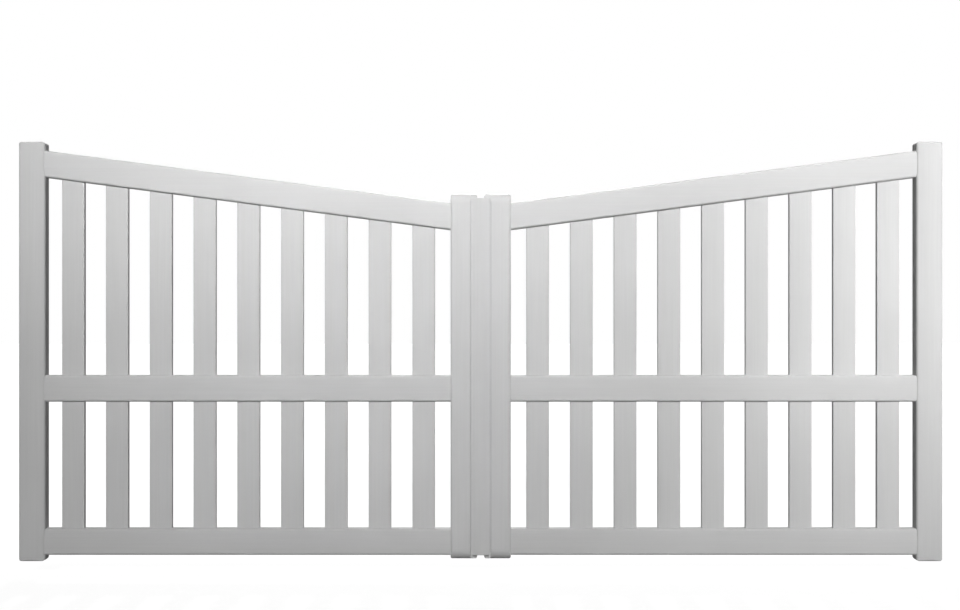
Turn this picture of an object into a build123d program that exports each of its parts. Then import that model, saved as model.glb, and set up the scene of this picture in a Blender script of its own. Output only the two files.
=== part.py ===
from build123d import *
from math import atan2, cos, degrees, sin
import os

# Double swing gate of hollow aluminium profiles, leaves closed, seen from the drive along +Y.
# X runs from the left pillar face to the right one, -Y is the outside, +Z is up.
# The origin lies on the back of the lower left wall plate, where it meets the pillar.

# Opening and clearances
passage_width = 3500.0
pillar_clearance = 15.0
leaf_gap = 26.0

# Stiles, the upright profiles at both sides of a leaf
stile_width = 100.0
stile_depth = 50.0
stile_wall = 2.5
hinge_stile_front_radius = 11.0
meeting_stile_front_radius = 9.0
stile_back_radius = 10.0
hinge_stile_height = 1575.0
hinge_stile_crown = 5.0
meeting_stile_lift = 6.0
meeting_stile_above_rail = 35.0

# Rebate in the inner front edge of the meeting stiles, which takes the cover strip
rebate_width = 25.0
rebate_depth = 20.0
rebate_edge_radius = 3.5
rebate_root_radius = 2.0
rebate_floor_radius = 4.0

# Rails, heights measured from the underside of the hinge stile
rail_height = 100.0
rail_depth = 38.0
rail_crown = 2.0
rail_wall = 2.2
rail_front_radius = 10.0
rail_back_edge = 1.5
bottom_rail_height = 22.0
middle_rail_height = 598.0
top_rail_below_top = 33.0
top_rail_drop = 197.0
rail_seat = 25.0
mortise_fit = 0.3

# Slats, the flat uprights that fill a leaf
slat_count = 9
slat_width = 85.0
slat_depth = 20.0
slat_wall = 1.5
slat_edge = 1.5
slat_back_setback = 5.5
slat_end_gap = 59.0
slat_seat = 15.0
slot_fit = 0.3

# End caps of the stiles
hinge_cap_height = 16.0
hinge_cap_edge_radius = 9.0
hinge_cap_side_radius = 13.0
hinge_cap_spigot = 5.0
meeting_cap_height = 40.0
meeting_cap_lip = 4.0
meeting_cap_crest = 5.0
meeting_cap_back_radius = 9.0
meeting_cap_side_radius = 11.0
meeting_cap_spigot = 18.0
cap_fit = 0.3

# Cover strip on the left meeting stile
strip_seam = 8.4
strip_thickness = 3.0
strip_crown = 5.0
strip_edge_radius = 1.0
strip_end_inset = 17.0
strip_leg_depth = 37.0

# Hinges, as far from both ends of the hinge stile
hinge_end_distance = 150.0
pivot_from_pillar = 25.0
pivot_setback = 80.0
pin_radius = 7.0
pin_running_fit = 0.05
pin_head_radius = 11.0
pin_head_height = 5.0
pin_tail = 5.0
pin_chamfer = 1.5
knuckle_radius = 12.0
knuckle_length = 50.0
knuckle_end_gap = 1.0
ear_thickness = 8.0
plate_thickness = 6.0
plate_width = 60.0
plate_height = 124.0
plate_corner = 6.0
plate_hole_radius = 4.5
plate_hole_across = 40.0
plate_hole_apart = 100.0
strap_thickness = 6.0
strap_length = 84.0
strap_edge_gap = 2.0
strap_corner = 8.0
strap_web = 12.0
strap_hole_radius = 5.5
strap_hole_apart = 44.0
strap_hole_inset = 14.0

# Places that follow from the sizes
mid_x = passage_width / 2
mid_plane = Plane.YZ.offset(mid_x)
front_y = -(pivot_setback - knuckle_radius + plate_width / 2)
back_y = front_y + stile_depth
base_z = -hinge_end_distance
upper_hinge_z = hinge_stile_height - 2 * hinge_end_distance

leaf_outer_x = pillar_clearance
leaf_inner_x = mid_x - leaf_gap / 2
clear_left_x = leaf_outer_x + stile_width
clear_right_x = leaf_inner_x - stile_width
clear_width = clear_right_x - clear_left_x

rail_front_y = front_y + (stile_depth - rail_depth) / 2
slat_middle_y = rail_front_y + rail_depth - slat_back_setback - slat_depth / 2
slat_pitch = (clear_width - 2 * slat_end_gap - slat_width) / (slat_count - 1)

# The stiles' ends and the top rail's upper edge, which falls from the hinge stile
hinge_stile_top = base_z + hinge_stile_height
top_rail_high_z = hinge_stile_top - top_rail_below_top
meeting_stile_bottom = base_z + meeting_stile_lift
meeting_stile_top = top_rail_high_z - top_rail_drop + meeting_stile_above_rail
slope_angle = atan2(top_rail_drop, clear_width)
slope_direction = Vector(cos(slope_angle), 0, -sin(slope_angle))
slope_normal = Vector(sin(slope_angle), 0, cos(slope_angle))
sloped_rail_height = rail_height / cos(slope_angle)

pivot_x = pivot_from_pillar
pivot_y = front_y + pivot_setback


os.makedirs("parts", exist_ok=True)


def save(piece, name):
    """Label a finished piece and write it to its file."""
    piece.part.label = name
    export_step(piece.part, f"parts/{name}.step")


def save_both_sides(piece, name):
    """Write a piece of the left side and its mirror image on the right side."""
    save(piece, f"left_{name}")
    with BuildPart() as twin:
        mirror(piece.part, about=mid_plane)
    save(twin, f"right_{name}")


def top_rail_underside(x):
    """Height of the sloping rail's lower edge at a place along the leaf."""
    fall = top_rail_drop * (x - clear_left_x) / clear_width
    return top_rail_high_z - fall - sloped_rail_height


# Section of the hinge stile, with a crowned front and large front radii
with BuildSketch() as hinge_stile_section:
    with BuildLine():
        ThreePointArc(
            (leaf_outer_x, front_y + hinge_stile_crown),
            (leaf_outer_x + stile_width / 2, front_y),
            (clear_left_x, front_y + hinge_stile_crown),
        )
        Polyline(
            (clear_left_x, front_y + hinge_stile_crown),
            (clear_left_x, back_y),
            (leaf_outer_x, back_y),
            (leaf_outer_x, front_y + hinge_stile_crown),
        )
    make_face()
    corners = hinge_stile_section.vertices().group_by(Axis.Y)
    fillet(corners[0], hinge_stile_front_radius)
    fillet(corners[-1], stile_back_radius)

# Section of the meeting stile, with the rebate in its inner front edge
rebate_x = leaf_inner_x - rebate_width
rebate_floor_y = front_y + rebate_depth
with BuildSketch() as meeting_stile_section:
    with BuildLine():
        Polyline(
            (clear_right_x, front_y),
            (rebate_x, front_y),
            (rebate_x, rebate_floor_y),
            (leaf_inner_x, rebate_floor_y),
            (leaf_inner_x, back_y),
            (clear_right_x, back_y),
            close=True,
        )
    make_face()
    corner_radii = [
        ((clear_right_x, front_y), meeting_stile_front_radius),
        ((rebate_x, front_y), rebate_edge_radius),
        ((rebate_x, rebate_floor_y), rebate_root_radius),
        ((leaf_inner_x, rebate_floor_y), rebate_floor_radius),
        ((leaf_inner_x, back_y), stile_back_radius),
        ((clear_right_x, back_y), stile_back_radius),
    ]
    for corner, radius in corner_radii:
        fillet(meeting_stile_section.vertices().sort_by_distance(corner)[0], radius)


def rail_section(height):
    """Section of a rail, drawn across the leaf with its lower edge at zero."""
    with BuildSketch() as section:
        with BuildLine():
            ThreePointArc(
                (rail_front_y + rail_crown, 0),
                (rail_front_y, height / 2),
                (rail_front_y + rail_crown, height),
            )
            Polyline(
                (rail_front_y + rail_crown, height),
                (rail_front_y + rail_depth, height),
                (rail_front_y + rail_depth, 0),
                (rail_front_y + rail_crown, 0),
            )
        make_face()
        corners = section.vertices().group_by(Axis.X)
        fillet(corners[0], rail_front_radius)
        chamfer(corners[-1], rail_back_edge)
    return section


# One section for the level rails, and one for the top rail, stretched by its slope
level_rail_section = rail_section(rail_height)
sloped_rail_section = rail_section(sloped_rail_height)

# Each rail by its section, its lower edge at the hinge stile and the way it runs
level = Vector(1, 0, 0)
rails = {
    "bottom_rail": (level_rail_section, base_z + bottom_rail_height, level),
    "middle_rail": (level_rail_section, base_z + middle_rail_height, level),
    "top_rail": (sloped_rail_section, top_rail_underside(clear_left_x), slope_direction),
}


def rail_body(name, start_x, end_x, grow):
    """A rail's outer shape between two upright planes, grown where it is a mortise."""
    section, low_edge, way = rails[name]
    start_z = low_edge + way.Z / way.X * (start_x - clear_left_x)
    with BuildPart() as body:
        with BuildSketch(Plane.YZ.offset(start_x)):
            with Locations((0, start_z)):
                add(section.sketch)
            if grow:
                offset(amount=grow)
        extrude(amount=(end_x - start_x) / way.X, dir=way)
    return body.part


def slat_row(low_z, high_z):
    """A row of hollow slats, each with its long edges eased."""
    with BuildPart() as row:
        with BuildSketch(Plane.XY.offset(low_z)) as slat_sections:
            with Locations(((clear_left_x + clear_right_x) / 2, slat_middle_y)):
                with GridLocations(slat_pitch, 1, slat_count, 1):
                    Rectangle(slat_width, slat_depth)
            chamfer(slat_sections.vertices(), slat_edge)
            with Locations(((clear_left_x + clear_right_x) / 2, slat_middle_y)):
                with GridLocations(slat_pitch, 1, slat_count, 1):
                    hollow = (slat_width - 2 * slat_wall, slat_depth - 2 * slat_wall)
                    Rectangle(*hollow, mode=Mode.SUBTRACT)
        extrude(amount=high_z - low_z)
    return row.part


def slot_row(low_z, high_z):
    """The shapes of the square-cornered slots that a row of slats enters."""
    with BuildPart() as row:
        with BuildSketch(Plane.XY.offset(low_z)):
            with Locations(((clear_left_x + clear_right_x) / 2, slat_middle_y)):
                with GridLocations(slat_pitch, 1, slat_count, 1):
                    Rectangle(slat_width + 2 * slot_fit, slat_depth + 2 * slot_fit)
        extrude(amount=high_z - low_z)
    return row.part


def sloped_end(row, seat):
    """Cut the upper ends of a slat row parallel to the top rail, inside its lower wall."""
    middle_x = (clear_left_x + clear_right_x) / 2
    cut_plane = Plane(origin=(middle_x, 0, top_rail_underside(middle_x) + seat), z_dir=slope_normal)
    with BuildPart() as cut_row:
        add(row)
        split(bisect_by=cut_plane, keep=Keep.BOTTOM)
    return cut_row


# Levels between which the slats run
lower_slats_bottom = base_z + bottom_rail_height + rail_height
lower_slats_top = base_z + middle_rail_height
upper_slats_bottom = lower_slats_top + rail_height
above_the_leaf = top_rail_high_z

# Slots for the slats, cut through the rail walls that the slats enter
slot_seat = slat_seat + slot_fit
lower_slots = slot_row(lower_slats_bottom - slot_seat, lower_slats_top + slot_seat)
upper_slots = sloped_end(slot_row(upper_slats_bottom - slot_seat, above_the_leaf), slot_seat).part


def hollow_rail(name, slots):
    """A rail profile cut to reach into both stiles, slotted for the slats."""
    section, low_edge, way = rails[name]
    start_x = clear_left_x - rail_seat
    end_x = clear_right_x + rail_seat
    start_z = low_edge + way.Z / way.X * (start_x - clear_left_x)
    with BuildPart() as rail:
        with BuildSketch(Plane.YZ.offset(start_x)) as profile:
            with Locations((0, start_z)):
                add(section.sketch)
            offset(profile.face(), amount=-rail_wall, mode=Mode.SUBTRACT)
        extrude(amount=(end_x - start_x) / way.X, dir=way)
        for slot in slots:
            add(slot, mode=Mode.SUBTRACT)
    return rail


save_both_sides(hollow_rail("bottom_rail", [lower_slots]), "bottom_rail")
save_both_sides(hollow_rail("middle_rail", [lower_slots, upper_slots]), "middle_rail")
save_both_sides(hollow_rail("top_rail", [upper_slots]), "top_rail")

# Slats below and above the middle rail
with BuildPart() as lower_slats:
    add(slat_row(lower_slats_bottom - slat_seat, lower_slats_top + slat_seat))
save_both_sides(lower_slats, "lower_slats")
upper_slats = sloped_end(slat_row(upper_slats_bottom - slat_seat, above_the_leaf), slat_seat)
save_both_sides(upper_slats, "upper_slats")


def with_mortises(blank, start_x, end_x):
    """A stile tube or an end cap, cut for the end of each rail that reaches into it."""
    with BuildPart() as piece:
        add(blank.part)
        for name in rails:
            add(rail_body(name, start_x, end_x, mortise_fit), mode=Mode.SUBTRACT)
    return piece


def stile_tube(section, low_z, high_z):
    """A hollow stile profile before it is cut."""
    with BuildPart() as tube:
        with BuildSketch(Plane.XY.offset(low_z)) as profile:
            add(section.sketch)
            offset(profile.face(), amount=-stile_wall, mode=Mode.SUBTRACT)
        extrude(amount=high_z - low_z)
    return tube


def spigot_section(section, seat_z):
    """Section of a cap's spigot, a fit inside the hollow of its stile."""
    with BuildSketch(Plane.XY.offset(seat_z)) as spigot:
        add(section.sketch)
        offset(spigot.face(), amount=-(stile_wall + cap_fit), mode=Mode.REPLACE)
    return spigot.sketch


def stile_cap(section, start_x, seat_z, height, radii, spigot_length):
    """Cap for the top of a stile, rounded at its front, its back and both sides."""
    front_radius, back_radius, side_radius = radii
    with BuildPart() as cap:
        with BuildSketch(Plane.XY.offset(seat_z)):
            add(section.sketch)
        extrude(amount=height)
        with BuildSketch(Plane.YZ.offset(start_x)) as side_view:
            with Locations((front_y, seat_z)):
                Rectangle(stile_depth, height, align=(Align.MIN, Align.MIN))
            front_end, back_end = side_view.vertices().group_by(Axis.Y)[-1].sort_by(Axis.X)
            fillet(front_end, front_radius)
            fillet(back_end, back_radius)
        extrude(amount=stile_width, mode=Mode.INTERSECT)
        with BuildSketch(Plane.XZ.offset(-back_y)) as front_view:
            with Locations((start_x, seat_z)):
                Rectangle(stile_width, height, align=(Align.MIN, Align.MIN))
            fillet(front_view.vertices().group_by(Axis.Y)[-1], side_radius)
        extrude(amount=stile_depth, mode=Mode.INTERSECT)
        extrude(spigot_section(section, seat_z), amount=-spigot_length)
    return cap


def turned_over(cap, low_z, high_z):
    """The same cap mirrored to the other end of its stile."""
    with BuildPart() as lower_cap:
        mirror(cap.part, about=Plane.XY.offset((low_z + high_z) / 2))
    return lower_cap


# Hinge stile, mortised in the side that faces the slats, and its caps, clear of the rails
hinge_tube = stile_tube(
    hinge_stile_section, base_z + hinge_cap_height, hinge_stile_top - hinge_cap_height
)
mortise_start = clear_left_x - rail_seat - mortise_fit
hinge_stile = with_mortises(hinge_tube, mortise_start, clear_left_x + rail_seat)
save_both_sides(hinge_stile, "hinge_stile")
hinge_top_cap = stile_cap(
    hinge_stile_section,
    leaf_outer_x,
    hinge_stile_top - hinge_cap_height,
    hinge_cap_height,
    (hinge_cap_edge_radius, hinge_cap_edge_radius, hinge_cap_side_radius),
    hinge_cap_spigot,
)
save_both_sides(hinge_top_cap, "hinge_stile_top_cap")
hinge_bottom_cap = turned_over(hinge_top_cap, base_z, hinge_stile_top)
save_both_sides(hinge_bottom_cap, "hinge_stile_bottom_cap")

# Front radius of the meeting stile's caps, which starts above their seat and leaves a crest
meeting_cap_roll = min(
    meeting_cap_height - meeting_cap_lip,
    stile_depth - meeting_cap_back_radius - meeting_cap_crest,
)

# Meeting stile with its caps, mortised in the side that faces the slats
meeting_tube = stile_tube(
    meeting_stile_section,
    meeting_stile_bottom + meeting_cap_height,
    meeting_stile_top - meeting_cap_height,
)
meeting_top_cap = stile_cap(
    meeting_stile_section,
    clear_right_x,
    meeting_stile_top - meeting_cap_height,
    meeting_cap_height,
    (meeting_cap_roll, meeting_cap_back_radius, meeting_cap_side_radius),
    meeting_cap_spigot,
)
meeting_stile_pieces = {
    "meeting_stile": meeting_tube,
    "meeting_stile_top_cap": meeting_top_cap,
    "meeting_stile_bottom_cap": turned_over(
        meeting_top_cap, meeting_stile_bottom, meeting_stile_top
    ),
}
for name, blank in meeting_stile_pieces.items():
    mortise_end = clear_right_x + rail_seat + mortise_fit
    save_both_sides(with_mortises(blank, clear_right_x - rail_seat, mortise_end), name)

# Cover strip, a bowed profile over the gap, screwed by its leg to the left meeting stile
strip_half = leaf_gap / 2 + rebate_width - strip_seam
strip_low_z = meeting_stile_bottom + strip_end_inset
strip_length = meeting_stile_top - meeting_stile_bottom - 2 * strip_end_inset
with BuildPart() as cover_strip:
    with BuildSketch(Plane.XY.offset(strip_low_z)) as strip_section:
        with BuildLine():
            ThreePointArc(
                (mid_x - strip_half, front_y + strip_crown),
                (mid_x, front_y),
                (mid_x + strip_half, front_y + strip_crown),
            )
            Line(
                (mid_x + strip_half, front_y + strip_crown),
                (mid_x + strip_half, front_y + strip_crown + strip_thickness),
            )
            ThreePointArc(
                (mid_x + strip_half, front_y + strip_crown + strip_thickness),
                (mid_x, front_y + strip_thickness),
                (mid_x - strip_half, front_y + strip_crown + strip_thickness),
            )
            Line(
                (mid_x - strip_half, front_y + strip_crown + strip_thickness),
                (mid_x - strip_half, front_y + strip_crown),
            )
        make_face()
        fillet(strip_section.vertices().group_by(Axis.Y)[0], strip_edge_radius)
        with Locations((leaf_inner_x, front_y + strip_thickness)):
            Rectangle(
                strip_thickness,
                strip_leg_depth,
                align=(Align.MIN, Align.MIN),
            )
    extrude(amount=strip_length)
save(cover_strip, "cover_strip")


def wall_bracket(hinge_z):
    """Plate on the pillar with four bolt holes and two ears that hold the pin."""
    ear_gap = knuckle_length + 2 * knuckle_end_gap
    with BuildPart() as bracket:
        with BuildSketch(Plane.YZ) as plate:
            with Locations((0, hinge_z)):
                Rectangle(plate_width, plate_height)
                chamfer(plate.vertices(), plate_corner)
                with GridLocations(plate_hole_across, plate_hole_apart, 2, 2):
                    Circle(plate_hole_radius, mode=Mode.SUBTRACT)
        extrude(amount=plate_thickness)
        for ear_z in (hinge_z - ear_gap / 2 - ear_thickness, hinge_z + ear_gap / 2):
            with BuildSketch(Plane.XY.offset(ear_z)):
                with Locations((pivot_x, pivot_y)):
                    Circle(knuckle_radius)
                    Rectangle(pivot_x, 2 * knuckle_radius, align=(Align.MAX, Align.CENTER))
                    Circle(pin_radius + pin_running_fit, mode=Mode.SUBTRACT)
            extrude(amount=ear_thickness)
    return bracket


def hinge_pin(hinge_z):
    """Headed pin through both ears and the knuckle, its head seated on the upper ear."""
    seat_z = hinge_z + knuckle_length / 2 + knuckle_end_gap + ear_thickness
    shank = knuckle_length + 2 * (knuckle_end_gap + ear_thickness) + pin_tail
    with BuildPart() as pin:
        with BuildSketch(Plane.XY.offset(seat_z)):
            with Locations((pivot_x, pivot_y)):
                Circle(pin_head_radius)
        extrude(amount=pin_head_height)
        chamfer(pin.faces().sort_by(Axis.Z)[-1].edges(), pin_chamfer)
        with BuildSketch(Plane.XY.offset(seat_z)):
            with Locations((pivot_x, pivot_y)):
                Circle(pin_radius)
        extrude(amount=-shank)
        chamfer(pin.faces().sort_by(Axis.Z)[0].edges(), pin_chamfer)
    return pin


def hinge_strap(hinge_z):
    """Plate bolted to the back of the hinge stile, with a web out to the bored knuckle."""
    strap_x = leaf_outer_x + strap_edge_gap
    strap_back_y = back_y + strap_thickness
    with BuildPart() as strap:
        with BuildSketch(Plane.XZ.offset(-strap_back_y)) as flange:
            with Locations((strap_x + strap_length / 2, hinge_z)):
                Rectangle(strap_length, knuckle_length)
            chamfer(flange.vertices(), strap_corner)
            holes_x = strap_x + strap_length - strap_hole_inset - strap_hole_apart / 2
            with Locations((holes_x, hinge_z)):
                with GridLocations(strap_hole_apart, 1, 2, 1):
                    Circle(strap_hole_radius, mode=Mode.SUBTRACT)
        extrude(amount=strap_thickness)
        with BuildSketch(Plane.XY.offset(hinge_z - knuckle_length / 2)):
            with Locations((strap_x, back_y)):
                Rectangle(strap_web, pivot_y - back_y, align=(Align.MIN, Align.MIN))
            with Locations((pivot_x, pivot_y)):
                Circle(knuckle_radius)
        extrude(amount=knuckle_length)
        with BuildSketch(Plane.XY.offset(hinge_z - knuckle_length / 2)):
            with Locations((pivot_x, pivot_y)):
                Circle(pin_radius + pin_running_fit)
        extrude(amount=knuckle_length, mode=Mode.SUBTRACT)
    return strap


for level_name, hinge_z in (("lower", 0.0), ("upper", upper_hinge_z)):
    save_both_sides(wall_bracket(hinge_z), f"{level_name}_wall_bracket")
    save_both_sides(hinge_pin(hinge_z), f"{level_name}_hinge_pin")
    save_both_sides(hinge_strap(hinge_z), f"{level_name}_hinge_strap")

print(f"slope of the top rail {degrees(slope_angle):.2f} degrees, slat pitch {slat_pitch:.1f} mm")
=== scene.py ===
import math

import bpy
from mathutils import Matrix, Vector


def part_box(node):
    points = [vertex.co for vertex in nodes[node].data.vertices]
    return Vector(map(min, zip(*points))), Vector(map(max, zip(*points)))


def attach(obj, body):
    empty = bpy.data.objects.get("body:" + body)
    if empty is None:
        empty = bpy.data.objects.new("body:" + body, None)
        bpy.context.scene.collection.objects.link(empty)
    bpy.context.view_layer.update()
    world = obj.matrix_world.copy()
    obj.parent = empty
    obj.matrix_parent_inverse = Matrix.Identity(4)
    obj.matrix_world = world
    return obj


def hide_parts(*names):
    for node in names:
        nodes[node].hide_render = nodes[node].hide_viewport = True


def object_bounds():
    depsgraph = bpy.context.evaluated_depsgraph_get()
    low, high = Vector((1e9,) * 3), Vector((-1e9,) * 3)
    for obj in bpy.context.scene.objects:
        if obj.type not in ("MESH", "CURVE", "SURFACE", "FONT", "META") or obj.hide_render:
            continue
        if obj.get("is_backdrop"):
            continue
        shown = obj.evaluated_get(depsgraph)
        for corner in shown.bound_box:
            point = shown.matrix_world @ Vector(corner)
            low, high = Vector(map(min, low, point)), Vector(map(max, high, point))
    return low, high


# Double swing gate of aluminium profiles, closed, in metres. X runs from the left pillar to the
# right one, -Y is the drive side, +Z is up.
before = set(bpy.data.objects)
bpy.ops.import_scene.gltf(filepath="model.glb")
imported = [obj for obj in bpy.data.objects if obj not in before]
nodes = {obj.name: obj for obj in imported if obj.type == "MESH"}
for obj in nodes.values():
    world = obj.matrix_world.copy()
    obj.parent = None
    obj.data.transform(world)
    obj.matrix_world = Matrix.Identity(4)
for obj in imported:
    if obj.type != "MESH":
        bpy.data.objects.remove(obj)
cad_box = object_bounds()
scene = bpy.context.scene
leaves = {"left": "left_leaf", "right": "right_leaf"}

# Viewpoint
# The gate is seen square on from the drive, from a standing person's chest height, with a 50 mm
# lens on full frame.
lens_length = 50.0
film_width = 36.0
viewing_distance = 5.0
viewing_height = 0.812
viewing_place = 1.7475
level = math.radians(90)

gate_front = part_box("left_hinge_stile")[0].y
camera_data = bpy.data.cameras.new("viewpoint")
camera_data.lens = lens_length
camera_data.sensor_width = film_width
camera = bpy.data.objects.new("viewpoint", camera_data)
camera.location = (viewing_place, gate_front - viewing_distance, viewing_height)
camera.rotation_euler = (level, 0, 0)
scene.collection.objects.link(camera)
scene.camera = camera


# Powder-coated profiles
# Stiles, rails and strip are extruded aluminium, cut to length, with a baked satin powder coat.
# The coat has a fine orange peel, faint drawing lines along the profile and a slight drift in tone.
class Wire:
    """A socket of a node tree. Sums and products of wires add the Math nodes they need."""

    def __init__(self, tree, socket=None):
        self.tree = tree
        self.socket = socket

    def node(self, kind, settings, values, output=0):
        """Add a node: its settings first, then the values or wires of its sockets."""
        made = self.tree.nodes.new(kind)
        for name, value in settings.items():
            setattr(made, name, value)
        for key, value in values.items():
            if isinstance(value, Wire):
                self.tree.links.new(value.socket, made.inputs[key])
            else:
                made.inputs[key].default_value = value
        return Wire(self.tree, made.outputs[output])

    def maths(self, operation, *values, clamp=False):
        settings = {"operation": operation, "use_clamp": clamp}
        return self.node("ShaderNodeMath", settings, dict(enumerate(values)))

    def __add__(self, other):
        return self.maths("ADD", self, other)

    def __sub__(self, other):
        return self.maths("SUBTRACT", self, other)

    def __mul__(self, other):
        return self.maths("MULTIPLY", self, other)

    def __rsub__(self, other):
        return self.maths("SUBTRACT", other, self)

    def between(self, low, high):
        """0 where the wire is under low, 1 where it is over high."""
        values = {"Value": self, "From Min": low, "From Max": high}
        return self.node("ShaderNodeMapRange", {"interpolation_type": "SMOOTHSTEP"}, values)

    __radd__ = __add__
    __rmul__ = __mul__


def start_material(name):
    """A new material, the wire its nodes start from and its object coordinates."""
    material = bpy.data.materials.new(name)
    material.use_nodes = True
    material.node_tree.nodes.clear()
    wire = Wire(material.node_tree)
    return material, wire, wire.node("ShaderNodeTexCoord", {}, {}, "Object")


def noise(wire, place, scale, detail=2.0, stretch=(1, 1, 1)):
    """Noise on the object's coordinates, drawn out along an axis where its stretch is small."""
    moved = wire.node("ShaderNodeMapping", {}, {"Vector": place, "Scale": stretch})
    return wire.node("ShaderNodeTexNoise", {}, {"Vector": moved, "Scale": scale, "Detail": detail})


def mixed(wire, factor, dark, light):
    """A colour between two."""
    values = {"Factor": factor, 6: dark, 7: light}
    return wire.node("ShaderNodeMix", {"data_type": "RGBA"}, values, 2)


def grey(value, warmth=0.0):
    """A grey, a little red where its warmth is over zero and a little blue under it."""
    return (value + warmth, value, value - warmth, 1)


def relief(wire, strength, depth, height):
    """Bumps of a depth in metres, for a shader's Normal."""
    return wire.node("ShaderNodeBump", {}, {"Strength": strength, "Distance": depth, "Height": height})


def end_tree(wire, kind, socket, result):
    """Lead a result to the output node of its tree."""
    made = wire.tree.nodes.new(kind)
    wire.tree.links.new(result.socket, made.inputs[socket])


def end_material(wire, values):
    """Close a material with a principled shader that has these values."""
    shader = wire.node("ShaderNodeBsdfPrincipled", {}, values)
    end_tree(wire, "ShaderNodeOutputMaterial", "Surface", shader)


def dress(name, material):
    """Give a node its finish."""
    slots = nodes[name].data.materials
    slots.clear()
    slots.append(material)


coat_dark = 0.585
coat_light = 0.635
coat_roughness = 0.36
coat_gloss = 0.03
tone_drift_scale = 2.2
drawing_line_scale = 160.0
orange_peel_scale = 520.0
coat_grain_scale = 1900.0
coat_relief = (0.12, 0.0003)
drawn_upright = (1, 1, 0.02)
drawn_level = (0.02, 1, 1)


def coat_material(name, drawn):
    """Powder coat over a profile whose drawing lines run along the axis where drawn is small."""
    material, wire, place = start_material(name)
    drift = noise(wire, place, tone_drift_scale, 3.0)
    lines = noise(wire, place, drawing_line_scale, 2.0, drawn)
    peel = noise(wire, place, orange_peel_scale, 2.0)
    grain = noise(wire, place, coat_grain_scale, 1.0)
    tone = drift * 0.55 + lines * 0.25 + grain * 0.2
    end_material(wire, {
        "Base Color": mixed(wire, tone.between(0.3, 0.7), grey(coat_dark), grey(coat_light)),
        "Roughness": drift * 0.06 + grain * 0.05 + (coat_roughness - 0.05),
        "Normal": relief(wire, *coat_relief, peel * 0.7 + lines * 0.3),
        "Specular IOR Level": coat_gloss,
    })
    return material


upright_coat = coat_material("powder_coat_upright", drawn_upright)
level_coat = coat_material("powder_coat_level", drawn_level)
for side in leaves:
    for name in ("hinge_stile", "meeting_stile"):
        dress(f"{side}_{name}", upright_coat)
    for name in ("bottom_rail", "middle_rail", "top_rail"):
        dress(f"{side}_{name}", level_coat)
dress("cover_strip", upright_coat)

# End caps
# Moulded caps in the colour of the profiles close both ends of every stile. Each is pressed in by
# its spigot, and its surface is a little more matt, with the fine grain of the mould.
cap_dark = 0.59
cap_light = 0.625
cap_roughness = 0.48
cap_gloss = 0.03
cap_drift_scale = 9.0
mould_grain_scale = 1400.0
cap_relief = (0.2, 0.0002)

cap_material, wire, place = start_material("moulded_caps")
drift = noise(wire, place, cap_drift_scale)
mould_grain = noise(wire, place, mould_grain_scale, 3.0)
tone = drift * 0.6 + mould_grain * 0.4
end_material(wire, {
    "Base Color": mixed(wire, tone.between(0.3, 0.7), grey(cap_dark), grey(cap_light)),
    "Roughness": mould_grain * 0.06 + (cap_roughness - 0.03),
    "Normal": relief(wire, *cap_relief, mould_grain),
    "Specular IOR Level": cap_gloss,
})
for side in leaves:
    for stile in ("hinge_stile", "meeting_stile"):
        for end in ("top", "bottom"):
            dress(f"{side}_{stile}_{end}_cap", cap_material)

# Slats
# Nine flat hollow slats below the middle rail and nine above it, each seated in slots of the rails,
# with rounded long edges. The upper ones are cut to the slope of the top rail.
slat_count = 9
slat_width = 0.085
slat_corner = 0.003
corner_points = 4
crease_angle = 0.6
edge_slack = 0.001


def start_tree(name, sizes):
    """A node tree for a modifier, with its sizes as inputs, and the wires of those inputs."""
    tree = bpy.data.node_groups.new(name, "GeometryNodeTree")
    tree.interface.new_socket("Geometry", in_out="INPUT", socket_type="NodeSocketGeometry")
    for label, kind in sizes.items():
        tree.interface.new_socket(label, in_out="INPUT", socket_type=f"NodeSocket{kind}")
    tree.interface.new_socket("Geometry", in_out="OUTPUT", socket_type="NodeSocketGeometry")
    wire = Wire(tree)
    group = tree.nodes.new("NodeGroupInput")
    given = {label: Wire(tree, group.outputs[label]) for label in ("Geometry", *sizes)}
    return tree, wire, given


def joined(wire, first, second):
    """Two pieces of geometry as one."""
    made = wire.tree.nodes.new("GeometryNodeJoinGeometry")
    wire.tree.links.new(second.socket, made.inputs[0])
    wire.tree.links.new(first.socket, made.inputs[0])
    return Wire(wire.tree, made.outputs[0])


def creased(wire, geometry):
    """Shade smooth, but for the edges that turn by more than the crease angle."""
    values = {"Geometry": geometry, "Shade Smooth": True}
    smooth = wire.node("GeometryNodeSetShadeSmooth", {"domain": "FACE"}, values)
    turn = wire.node("GeometryNodeInputMeshEdgeAngle", {}, {})
    sharp = wire.maths("GREATER_THAN", turn, crease_angle)
    values = {"Geometry": smooth, "Selection": sharp, "Shade Smooth": False}
    return wire.node("GeometryNodeSetShadeSmooth", {"domain": "EDGE"}, values)


def end_row(wire, given, row):
    """Close a row of like pieces: creases, material and what the modifier was given."""
    row = creased(wire, row)
    row = wire.node("GeometryNodeSetMaterial", {}, {"Geometry": row, "Material": given["Material"]})
    end_tree(wire, "NodeGroupOutput", "Geometry", joined(wire, given["Geometry"], row))


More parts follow.
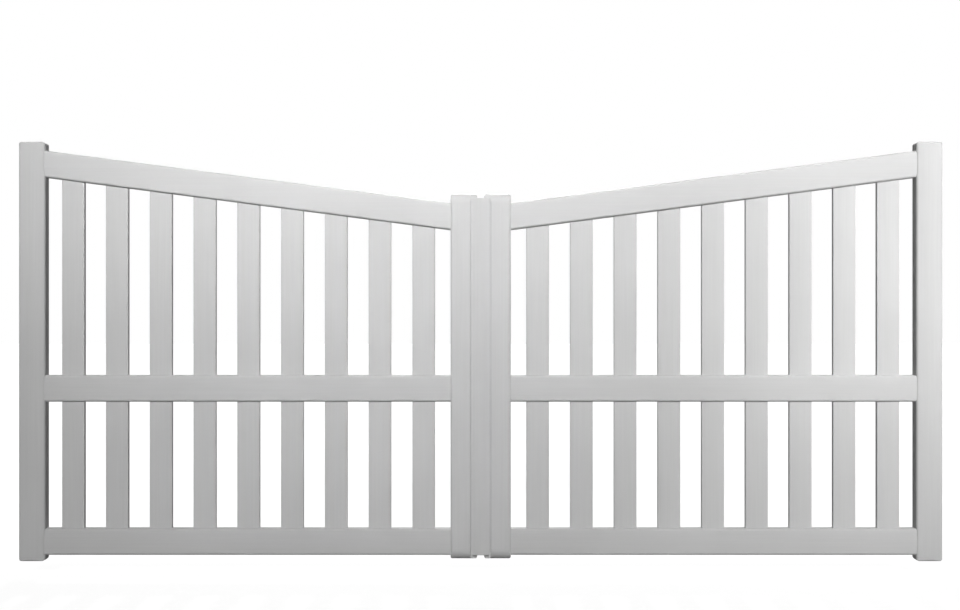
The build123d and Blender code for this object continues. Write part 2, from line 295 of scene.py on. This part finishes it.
slat_tree, wire, given = start_tree("slat_row", {
    "Count": "Int", "Pitch": "Float", "Width": "Float", "Depth": "Float", "Corner": "Float",
    "First": "Float", "Middle": "Float", "Low": "Float", "High": "Float", "Fall": "Float",
    "Material": "Material",
})
start = wire.node("ShaderNodeCombineXYZ", {}, {"X": given["First"], "Y": given["Middle"]})
step = wire.node("ShaderNodeCombineXYZ", {}, {"X": given["Pitch"]})
values = {"Count": given["Count"], "Start Location": start, "Offset": step}
points = wire.node("GeometryNodeMeshLine", {"mode": "OFFSET"}, values)
values = {"Width": given["Width"], "Height": given["Depth"]}
outline = wire.node("GeometryNodeCurvePrimitiveQuadrilateral", {"mode": "RECTANGLE"}, values)
values = {"Curve": outline, "Count": corner_points, "Radius": given["Corner"]}
outline = wire.node("GeometryNodeFilletCurve", {"mode": "POLY"}, values)
centre = wire.node("GeometryNodeCurvePrimitiveLine", {}, {"Start": (0, 0, 0), "End": (0, 0, 1)})
values = {"Curve": centre, "Profile Curve": outline, "Fill Caps": True}
slat = wire.node("GeometryNodeCurveToMesh", {}, values)
row = wire.node("GeometryNodeInstanceOnPoints", {}, {"Points": points, "Instance": slat})
row = wire.node("GeometryNodeRealizeInstances", {}, {"Geometry": row})
place = wire.node("GeometryNodeInputPosition", {}, {})
x, y, t = [wire.node("ShaderNodeSeparateXYZ", {}, {"Vector": place}, axis) for axis in "XYZ"]
top = given["High"] - (x - given["First"]) * given["Fall"]
height = given["Low"] + t * (top - given["Low"])
place = wire.node("ShaderNodeCombineXYZ", {}, {"X": x, "Y": y, "Z": height})
row = wire.node("GeometryNodeSetPosition", {}, {"Geometry": row, "Position": place})
end_row(wire, given, row)


def start_piece(name):
    """An empty object in the scene, whose mesh is made later."""
    piece = bpy.data.objects.new(name, bpy.data.meshes.new(name))
    scene.collection.objects.link(piece)
    return piece


def give(piece, tree, sizes):
    """Add a modifier with this tree, its inputs set by their identifiers."""
    modifier = piece.modifiers.new(tree.name, "NODES")
    modifier.node_group = tree
    for item in tree.interface.items_tree:
        if item.in_out == "INPUT" and item.name in sizes:
            modifier[item.identifier] = sizes[item.name]


def made_plain(piece):
    """Turn a piece's modifiers into a plain mesh."""
    depsgraph = bpy.context.evaluated_depsgraph_get()
    mesh = bpy.data.meshes.new_from_object(piece.evaluated_get(depsgraph))
    piece.modifiers.clear()
    piece.data = mesh


def edge_height(name, x):
    """Height of a node's top at a place along the gate."""
    return max(v.co.z for v in nodes[name].data.vertices if abs(v.co.x - x) < edge_slack)


for side, body in leaves.items():
    piece = start_piece(f"{side}_slats")
    rail = f"{side}_top_rail"
    rail_low, rail_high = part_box(rail)
    drop = edge_height(rail, rail_low.x) - edge_height(rail, rail_high.x)
    falls = {"lower": 0.0, "upper": drop / (rail_high.x - rail_low.x)}
    for half, fall in falls.items():
        low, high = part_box(f"{side}_{half}_slats")
        first = low.x + slat_width / 2
        outer = low.x if side == "left" else high.x
        give(piece, slat_tree, {
            "Count": slat_count,
            "Pitch": (high.x - low.x - slat_width) / (slat_count - 1),
            "Width": slat_width,
            "Depth": high.y - low.y,
            "Corner": slat_corner,
            "First": first,
            "Middle": (low.y + high.y) / 2,
            "Low": low.z,
            "High": high.z + fall * (outer - first),
            "Fall": fall,
            "Material": upright_coat,
        })
    made_plain(piece)
    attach(piece, body)
    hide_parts(f"{side}_lower_slats", f"{side}_upper_slats")

# Hinges
# Each leaf hangs on two hot-dip galvanised hinges: a welded wall bracket, a headed pin and a strap
# bolted to the back of the hinge stile. Zinc dries in large crystals with a dull, mottled sheen.
zinc_dark = 0.36
zinc_light = 0.56
zinc_warmth = -0.006
zinc_metal = 0.8
zinc_roughness = 0.46
crystal_scale = 210.0
cloud_scale = 26.0
fleck_scale = 900.0
zinc_relief = (0.25, 0.0003)

zinc, wire, place = start_material("galvanised_steel")
values = {"Vector": place, "Scale": crystal_scale}
crystals = wire.node("ShaderNodeTexVoronoi", {"feature": "F1"}, values, "Color")
crystal = wire.node("ShaderNodeSeparateColor", {}, {"Color": crystals})
cloud = noise(wire, place, cloud_scale, 4.0)
fleck = noise(wire, place, fleck_scale, 2.0)
tone = crystal * 0.45 + cloud * 0.35 + fleck * 0.2
dark = grey(zinc_dark, zinc_warmth)
light = grey(zinc_light, zinc_warmth)
end_material(wire, {
    "Base Color": mixed(wire, tone.between(0.15, 0.85), dark, light),
    "Metallic": zinc_metal,
    "Roughness": crystal * 0.16 + cloud * 0.1 + (zinc_roughness - 0.13),
    "Normal": relief(wire, *zinc_relief, cloud + fleck * 0.4),
})
for side in leaves:
    for hinge in ("lower", "upper"):
        for name in ("wall_bracket", "hinge_pin", "hinge_strap"):
            dress(f"{side}_{hinge}_{name}", zinc)

# Bolts and screws
# Zinc-plated M10 hexagon bolts with washers hold the straps to the backs of the hinge stiles, and
# small socket screws with washers hold the leg of the cover strip to the left meeting stile.
strap_thickness = 0.006
bolt_count = 2
bolt_place = 0.014
bolt_spacing = 0.044
bolt_sizes = {
    "Sides": 6, "Head Radius": 0.0098, "Head Height": 0.0064, "Recess": 0.0004,
    "Washer Radius": 0.0105, "Washer Height": 0.002,
}
strip_thickness = 0.003
screw_count = 8
screw_end = 0.07
screw_inset = 0.008
screw_sizes = {
    "Sides": 12, "Head Radius": 0.0042, "Head Height": 0.0026, "Recess": 0.0012,
    "Washer Radius": 0.0055, "Washer Height": 0.0008,
}
washer_sides = 16
straight_share = 0.75
crown_scale = 0.84
rim_scale = 0.72
recess_scale = 0.9
plating_dark = 0.5
plating_light = 0.68
plating_warmth = 0.006
plating_metal = 0.9
plating_roughness = 0.24
stain_scale = 130.0
turning_scale = 1500.0
plating_relief = (0.15, 0.0002)

plating, wire, place = start_material("zinc_plating")
stain = noise(wire, place, stain_scale, 3.0)
turning = noise(wire, place, turning_scale, 2.0)
tone = stain * 0.7 + turning * 0.3
dark = grey(plating_dark, plating_warmth)
light = grey(plating_light, plating_warmth)
end_material(wire, {
    "Base Color": mixed(wire, tone.between(0.3, 0.7), dark, light),
    "Metallic": plating_metal,
    "Roughness": stain * 0.2 + plating_roughness,
    "Normal": relief(wire, *plating_relief, turning),
})

fixing_tree, wire, given = start_tree("fixings", {
    "Count": "Int", "Start": "Vector", "Step": "Vector", "Turn": "Vector", "Sides": "Int",
    "Head Radius": "Float", "Head Height": "Float", "Washer Radius": "Float",
    "Washer Height": "Float", "Recess": "Float", "Material": "Material",
})


def disc(sides, radius, height, seat):
    """A closed prism that stands on a seat, and the selection of its upper face."""
    values = {"Vertices": sides, "Radius": radius, "Depth": height}
    made = wire.node("GeometryNodeMeshCylinder", {"fill_type": "NGON"}, values).socket.node
    lift = wire.node("ShaderNodeCombineXYZ", {}, {"Z": seat + height * 0.5})
    values = {"Geometry": Wire(wire.tree, made.outputs["Mesh"]), "Offset": lift}
    mesh = wire.node("GeometryNodeSetPosition", {}, values)
    return mesh, Wire(wire.tree, made.outputs["Top"])


def raised(mesh, face, rise, scale):
    """Draw a face up by a height and scale it."""
    values = {"Mesh": mesh, "Selection": face, "Offset Scale": rise}
    made = wire.node("GeometryNodeExtrudeMesh", {"mode": "FACES"}, values).socket.node
    upper = Wire(wire.tree, made.outputs["Top"])
    values = {"Geometry": Wire(wire.tree, made.outputs["Mesh"]), "Selection": upper, "Scale": scale}
    return wire.node("GeometryNodeScaleElements", {"domain": "FACE"}, values), upper


washer = disc(washer_sides, given["Washer Radius"], given["Washer Height"], 0.0)[0]
straight = given["Head Height"] * straight_share
head, face = disc(given["Sides"], given["Head Radius"], straight, given["Washer Height"])
head, face = raised(head, face, given["Head Height"] * (1.0 - straight_share), crown_scale)
head, face = raised(head, face, 0.0, rim_scale)
head = raised(head, face, 0.0 - given["Recess"], recess_scale)[0]
values = {"Count": given["Count"], "Start Location": given["Start"], "Offset": given["Step"]}
points = wire.node("GeometryNodeMeshLine", {"mode": "OFFSET"}, values)
turn = wire.node("FunctionNodeEulerToRotation", {}, {"Euler": given["Turn"]})
values = {"Points": points, "Instance": joined(wire, washer, head), "Rotation": turn}
row = wire.node("GeometryNodeInstanceOnPoints", {}, values)
row = wire.node("GeometryNodeRealizeInstances", {}, {"Geometry": row})
end_row(wire, given, row)

for side, body in leaves.items():
    piece = start_piece(f"{side}_fixings")
    inward = 1 if side == "left" else -1
    strap_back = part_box(f"{side}_hinge_stile")[1].y + strap_thickness
    for hinge in ("lower", "upper"):
        low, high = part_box(f"{side}_{hinge}_hinge_strap")
        end = high.x if side == "left" else low.x
        give(piece, fixing_tree, {
            "Count": bolt_count,
            "Start": (end - inward * bolt_place, strap_back, (low.z + high.z) / 2),
            "Step": (-inward * bolt_spacing, 0.0, 0.0),
            "Turn": (-math.pi / 2, 0.0, 0.0),
            "Material": plating,
            **bolt_sizes,
        })
    if side == "left":
        low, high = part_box("cover_strip")
        leg_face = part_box("left_meeting_stile")[1].x + strip_thickness
        spacing = (high.z - low.z - 2 * screw_end) / (screw_count - 1)
        give(piece, fixing_tree, {
            "Count": screw_count,
            "Start": (leg_face, high.y - screw_inset, low.z + screw_end),
            "Step": (0.0, 0.0, spacing),
            "Turn": (0.0, math.pi / 2, 0.0),
            "Material": plating,
            **screw_sizes,
        })
    made_plain(piece)
    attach(piece, body)

# Stage
# A plain pale floor and a white surround, which show white around the gate but light it softly.
# The floor glows a little less under the gate, so that the gate's shadow still shows there.
surround_light = 0.035
floor_tone = 0.16
speckle_tone = 0.01
speckle_scale = 90.0
ground_clearance = 0.06
floor_reach = 30.0
glow_low = 0.93
glow_from = 1.8
glow_to = 4.0
floor_level = cad_box[0].z - ground_clearance
gate_middle = (1.75, 0, floor_level)


def seen_rays(wire):
    """1 for the rays that show the surround: the camera's, mirrored and passed ones."""
    camera_ray, mirrored, passed = [wire.node("ShaderNodeLightPath", {}, {}, name)
                                    for name in ("Is Camera Ray", "Is Glossy Ray", "Is Transmission Ray")]
    return wire.maths("ADD", camera_ray + mirrored, passed, clamp=True)


world = bpy.data.worlds.new("surround")
scene.world = world
world.use_nodes = True
world.node_tree.nodes.clear()
wire = Wire(world.node_tree)
strength = seen_rays(wire) * (1.0 - surround_light) + surround_light
background = wire.node("ShaderNodeBackground", {}, {"Color": grey(1.0), "Strength": strength})
end_tree(wire, "ShaderNodeOutputWorld", "Surface", background)

floor_finish, wire, place = start_material("pale_floor")
speckle = noise(wire, place, speckle_scale)
colour = mixed(wire, speckle, grey(floor_tone - speckle_tone), grey(floor_tone + speckle_tone))
matt = wire.node("ShaderNodeBsdfDiffuse", {}, {"Color": colour})
away = wire.node("ShaderNodeVectorMath", {"operation": "DISTANCE"}, {0: place, 1: gate_middle}, 1)
brightness = away.between(glow_from, glow_to) * (1.0 - glow_low) + glow_low
strength = seen_rays(wire) * brightness
glow = wire.node("ShaderNodeEmission", {}, {"Color": grey(1.0), "Strength": strength})
both = wire.node("ShaderNodeAddShader", {}, {0: matt, 1: glow})
end_tree(wire, "ShaderNodeOutputMaterial", "Surface", both)

corners = [(x * floor_reach, y * floor_reach, floor_level) for x, y in ((-1, -1), (1, -1), (1, 1), (-1, 1))]
floor = start_piece("floor")
floor.data.from_pydata(corners, [], [(0, 1, 2, 3)])
floor.data.materials.append(floor_finish)
floor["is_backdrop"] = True

# Lights
# Two parallel lights, a key from the front and a weaker one from high behind, and gridded softboxes:
# two wide ones high and far behind the viewpoint, a tall one closer on the right, and one high on
# either side that lights the space behind the gate, where the leaves stand when it is open.
key_softness = 0.06
half_turn = math.pi
keys = {
    "key_front": {"power": 1.5, "tilt": 0.4, "turn": 0.0},
    "key_back": {"power": 1.2, "tilt": 0.5, "turn": half_turn},
}
# Each softbox has its place, with y from the front of the gate, its width and height, and the
# tangent of its grid's half angle. Power is in watts, for the keys in watts a square metre.
softboxes = {
    "softbox_low": ((1.366, -7.269, 3.855), (2.163, 0.839), 0.15,
                    {"power": 3.9, "tilt": 0.405, "turn": 0.0}),
    "softbox_high": ((1.482, -6.429, 4.236), (3.027, 0.603), 0.15,
                     {"power": 7.2, "tilt": 0.375, "turn": -0.021}),
    "softbox_right": ((4.5, -2.0, 2.303), (0.603, 2.943), 0.399,
                      {"power": 9.6, "tilt": 0.335, "turn": -0.533}),
    "softbox_yard_left": ((-6.0, 1.3, 3.3), (1.9, 3.6), 0.04,
                          {"power": 17.0, "tilt": 0.34, "turn": half_turn / 2}),
    "softbox_yard_right": ((9.5, 1.3, 3.3), (1.9, 3.6), 0.04,
                           {"power": 17.0, "tilt": 0.34, "turn": -half_turn / 2}),
}


def hang_lamp(name, kind, power, tilt, turn):
    """A lamp that looks along +Y, tilted down and turned clockwise as seen from above."""
    lamp = bpy.data.objects.new(name, bpy.data.lights.new(name, kind))
    lamp.data.energy = power
    lamp.rotation_euler = (level - tilt, 0, -turn)
    scene.collection.objects.link(lamp)
    return lamp


for name, aim in keys.items():
    lamp = hang_lamp(name, "SUN", **aim)
    lamp.data.angle = key_softness
for name, (place, size, grid, aim) in softboxes.items():
    lamp = hang_lamp(name, "AREA", **aim)
    lamp.location = (place[0], gate_front + place[1], place[2])
    lamp.data.shape = "RECTANGLE"
    lamp.data.size, lamp.data.size_y = size
    lamp.data.spread = 2 * math.atan(grid)
    lamp.visible_camera = False

scene.view_settings.view_transform = "Standard"

size = {
    "cad": [list(corner) for corner in cad_box],
    "visual": [list(corner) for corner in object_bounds()],
}
